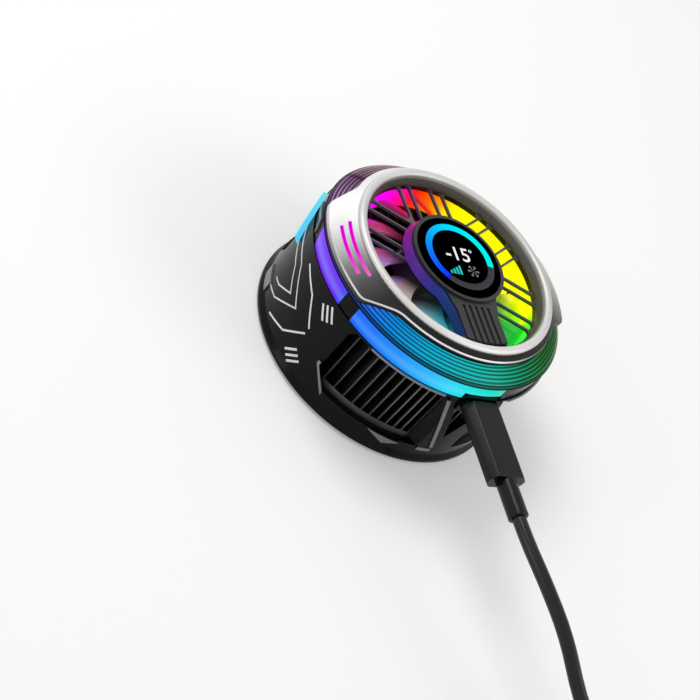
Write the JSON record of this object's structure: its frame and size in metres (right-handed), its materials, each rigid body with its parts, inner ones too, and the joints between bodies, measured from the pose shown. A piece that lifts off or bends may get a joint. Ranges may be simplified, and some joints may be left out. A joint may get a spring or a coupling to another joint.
{
  "type": "phone cooling fan",
  "caption": "Round clip-free phone cooler with a cold face, finned heat sink, guarded fan with a central display on an arm, lit rings, side vents and a pull-out power cable.",
  "frame": {"origin": "centre of the cold face, on the fan's axis", "axes": "+Z along the fan's axis away from the phone, -Y towards the power socket and cable, -X towards the bezel's left wing"},
  "size_m": [0.082, 0.194, 0.0334],
  "materials": {
    "pad_rubber": "matte silicone",
    "cold_metal": "satin",
    "screw_steel": "satin",
    "case_black": "gloss",
    "magnet_nickel": "plated",
    "steel": "satin",
    "ceramic": "matte ceramic",
    "foam": "foam",
    "fin_black": "satin",
    "trim_silver": "satin",
    "connector_steel": "bright",
    "contact_plastic": "matte",
    "board_green": "solder mask",
    "band_lit": "translucent, lit",
    "lamp_white": "lamp",
    "smoked_ring": "smoked translucent",
    "bezel_metal": "satin",
    "slit_lit": "translucent, lit",
    "duct_lit": "translucent, lit",
    "grille_grey": "satin",
    "pod_charcoal": "satin",
    "pod_lit": "translucent, lit",
    "display_glass": "gloss",
    "display_black": "display",
    "flex_amber": "polyimide",
    "frame_black": "matte",
    "copper": "enamelled wire",
    "blade_smoke": "translucent",
    "plug_charcoal": "satin",
    "cord_rubber": "satin"
  },
  "bodies": {
    "cooler": {"thermal_pad": "pad_rubber", "cold_plate": "cold_metal", "plate_screws": "screw_steel", "fan_screws": "screw_steel", "base_cover": "case_black", "drum_housing": "case_black", "band_housing": "case_black", "bezel_frame": "case_black", "port_collar": "case_black", "magnet_ring": "magnet_nickel", "magnet_shunt": "steel", "fan_bearings": "steel", "stator": "steel", "peltier_module": "ceramic", "module_gasket": "foam", "heat_sink": "fin_black", "window_trims": "trim_silver", "usb_receptacle": "connector_steel", "receptacle_tongue": "contact_plastic", "port_circuit_board": "board_green", "light_circuit_board": "board_green", "display_circuit_board": "board_green", "motor_circuit_board": "board_green", "light_band": "band_lit", "rear_light_bar": "band_lit", "light_emitters": "lamp_white", "grooved_ring": "smoked_ring", "bezel": "bezel_metal", "wing_lights": "slit_lit", "inner_light_ring": "duct_lit", "grille": "grille_grey", "display_pod": "pod_charcoal", "pod_light_ring": "pod_lit", "display_glass": "display_glass", "display_panel": "display_black", "display_flex": "flex_amber", "fan_base": "frame_black", "stator_windings": "copper"},
    "fan_rotor": {"fan_rotor": "blade_smoke", "rotor_yoke": "steel", "rotor_magnet": "magnet_nickel", "fan_shaft": "steel"},
    "cable": {"plug_shell": "connector_steel", "plug_overmold": "plug_charcoal", "strain_relief": "cord_rubber", "cable": "cord_rubber", "cable_coil": "cord_rubber", "cable_end": "cord_rubber", "far_plug_overmold": "plug_charcoal", "far_plug_shell": "connector_steel"}
  },
  "joints": [
    {"name": "fan_spin", "type": "hinge", "parent": "cooler", "child": "fan_rotor", "pos_m": [0, 0, 0.025], "axis": [0, 0, 1], "continuous": true},
    {"name": "plug_pull", "type": "slide", "parent": "cooler", "child": "cable", "axis": [0, -1, 0], "range_m": [0, 0.008]}
  ]
}
